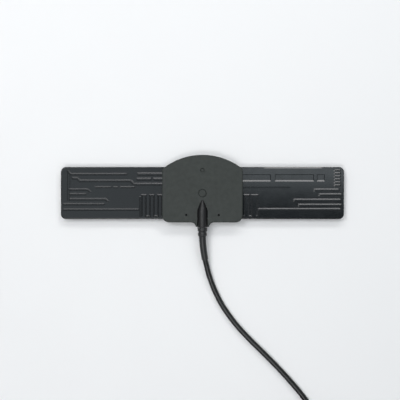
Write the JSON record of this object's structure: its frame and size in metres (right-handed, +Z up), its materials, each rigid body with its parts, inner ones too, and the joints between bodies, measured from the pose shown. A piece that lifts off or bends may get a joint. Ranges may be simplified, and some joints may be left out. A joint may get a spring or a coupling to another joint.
{
  "type": "flat indoor television antenna",
  "caption": "Flat bar indoor television antenna: a long glossy panel with raised circuit-like lines, a matt hub across its middle, and a coaxial lead with an F connector.",
  "frame": {"origin": "on the surface that the antenna lies on, under the middle of the panel and hub (the lead left out)", "axes": "+X along the panel to the right, +Y away from the lead, +Z up, out of the face"},
  "size_m": [0.28, 0.3365, 0.0157],
  "materials": {
    "panel_gloss": "glossy moulded, satin reflections",
    "panel_back_plastic": "satin",
    "element_aluminium": "rolled sheet",
    "hub_matt_plastic": "fine matt texture",
    "base_matt_plastic": "fine matt texture",
    "board_laminate": "solder mask",
    "core_ferrite": "dull ferrite",
    "winding_enamel": "enamelled copper",
    "capacitor_ceramic": "ceramic",
    "contact_brass": "stamped",
    "cable_jacket": "satin PVC",
    "coax_dielectric": "polyethylene",
    "coax_copper": "bare copper",
    "coax_braid": "tinned copper braid",
    "relief_rubber": "moulded, satin",
    "tie_strap": "woven strap",
    "boot_plastic": "moulded, satin",
    "connector_nickel": "nickel plated",
    "screw_steel": "zinc plated",
    "foot_rubber": "dull"
  },
  "bodies": {
    "antenna": {"balun_board": "board_laminate", "balun_core": "core_ferrite", "balun_winding": "winding_enamel", "board_screw_1": "screw_steel", "board_screw_2": "screw_steel", "cable_coil": "cable_jacket", "cable_tail": "cable_jacket", "chip_capacitor_1": "capacitor_ceramic", "chip_capacitor_2": "capacitor_ceramic", "coax_braid_tail": "coax_braid", "coax_cable": "cable_jacket", "coax_conductor": "coax_copper", "coax_dielectric": "coax_dielectric", "coax_stub": "cable_jacket", "coil_tie": "tie_strap", "connector_body": "connector_nickel", "connector_boot": "boot_plastic", "connector_insulator": "coax_dielectric", "connector_pin": "coax_copper", "element_left": "element_aluminium", "element_right": "element_aluminium", "feed_contact_left": "contact_brass", "feed_contact_right": "contact_brass", "feed_rivet_left": "contact_brass", "feed_rivet_right": "contact_brass", "hub_base": "base_matt_plastic", "hub_cover": "hub_matt_plastic", "hub_screw_1": "screw_steel", "hub_screw_2": "screw_steel", "hub_screw_3": "screw_steel", "hub_screw_4": "screw_steel", "panel_back": "panel_back_plastic", "panel_front": "panel_gloss", "rubber_foot_1": "foot_rubber", "rubber_foot_2": "foot_rubber", "rubber_foot_3": "foot_rubber", "rubber_foot_4": "foot_rubber", "strain_relief": "relief_rubber"},
    "coupling_nut": {"connector_nut": "connector_nickel"}
  },
  "joints": [
    {"name": "nut_spin", "type": "hinge", "parent": "antenna", "child": "coupling_nut", "pos_m": [0.02, -0.2954, 0.0067], "axis": [1, 0, 0], "continuous": true}
  ]
}
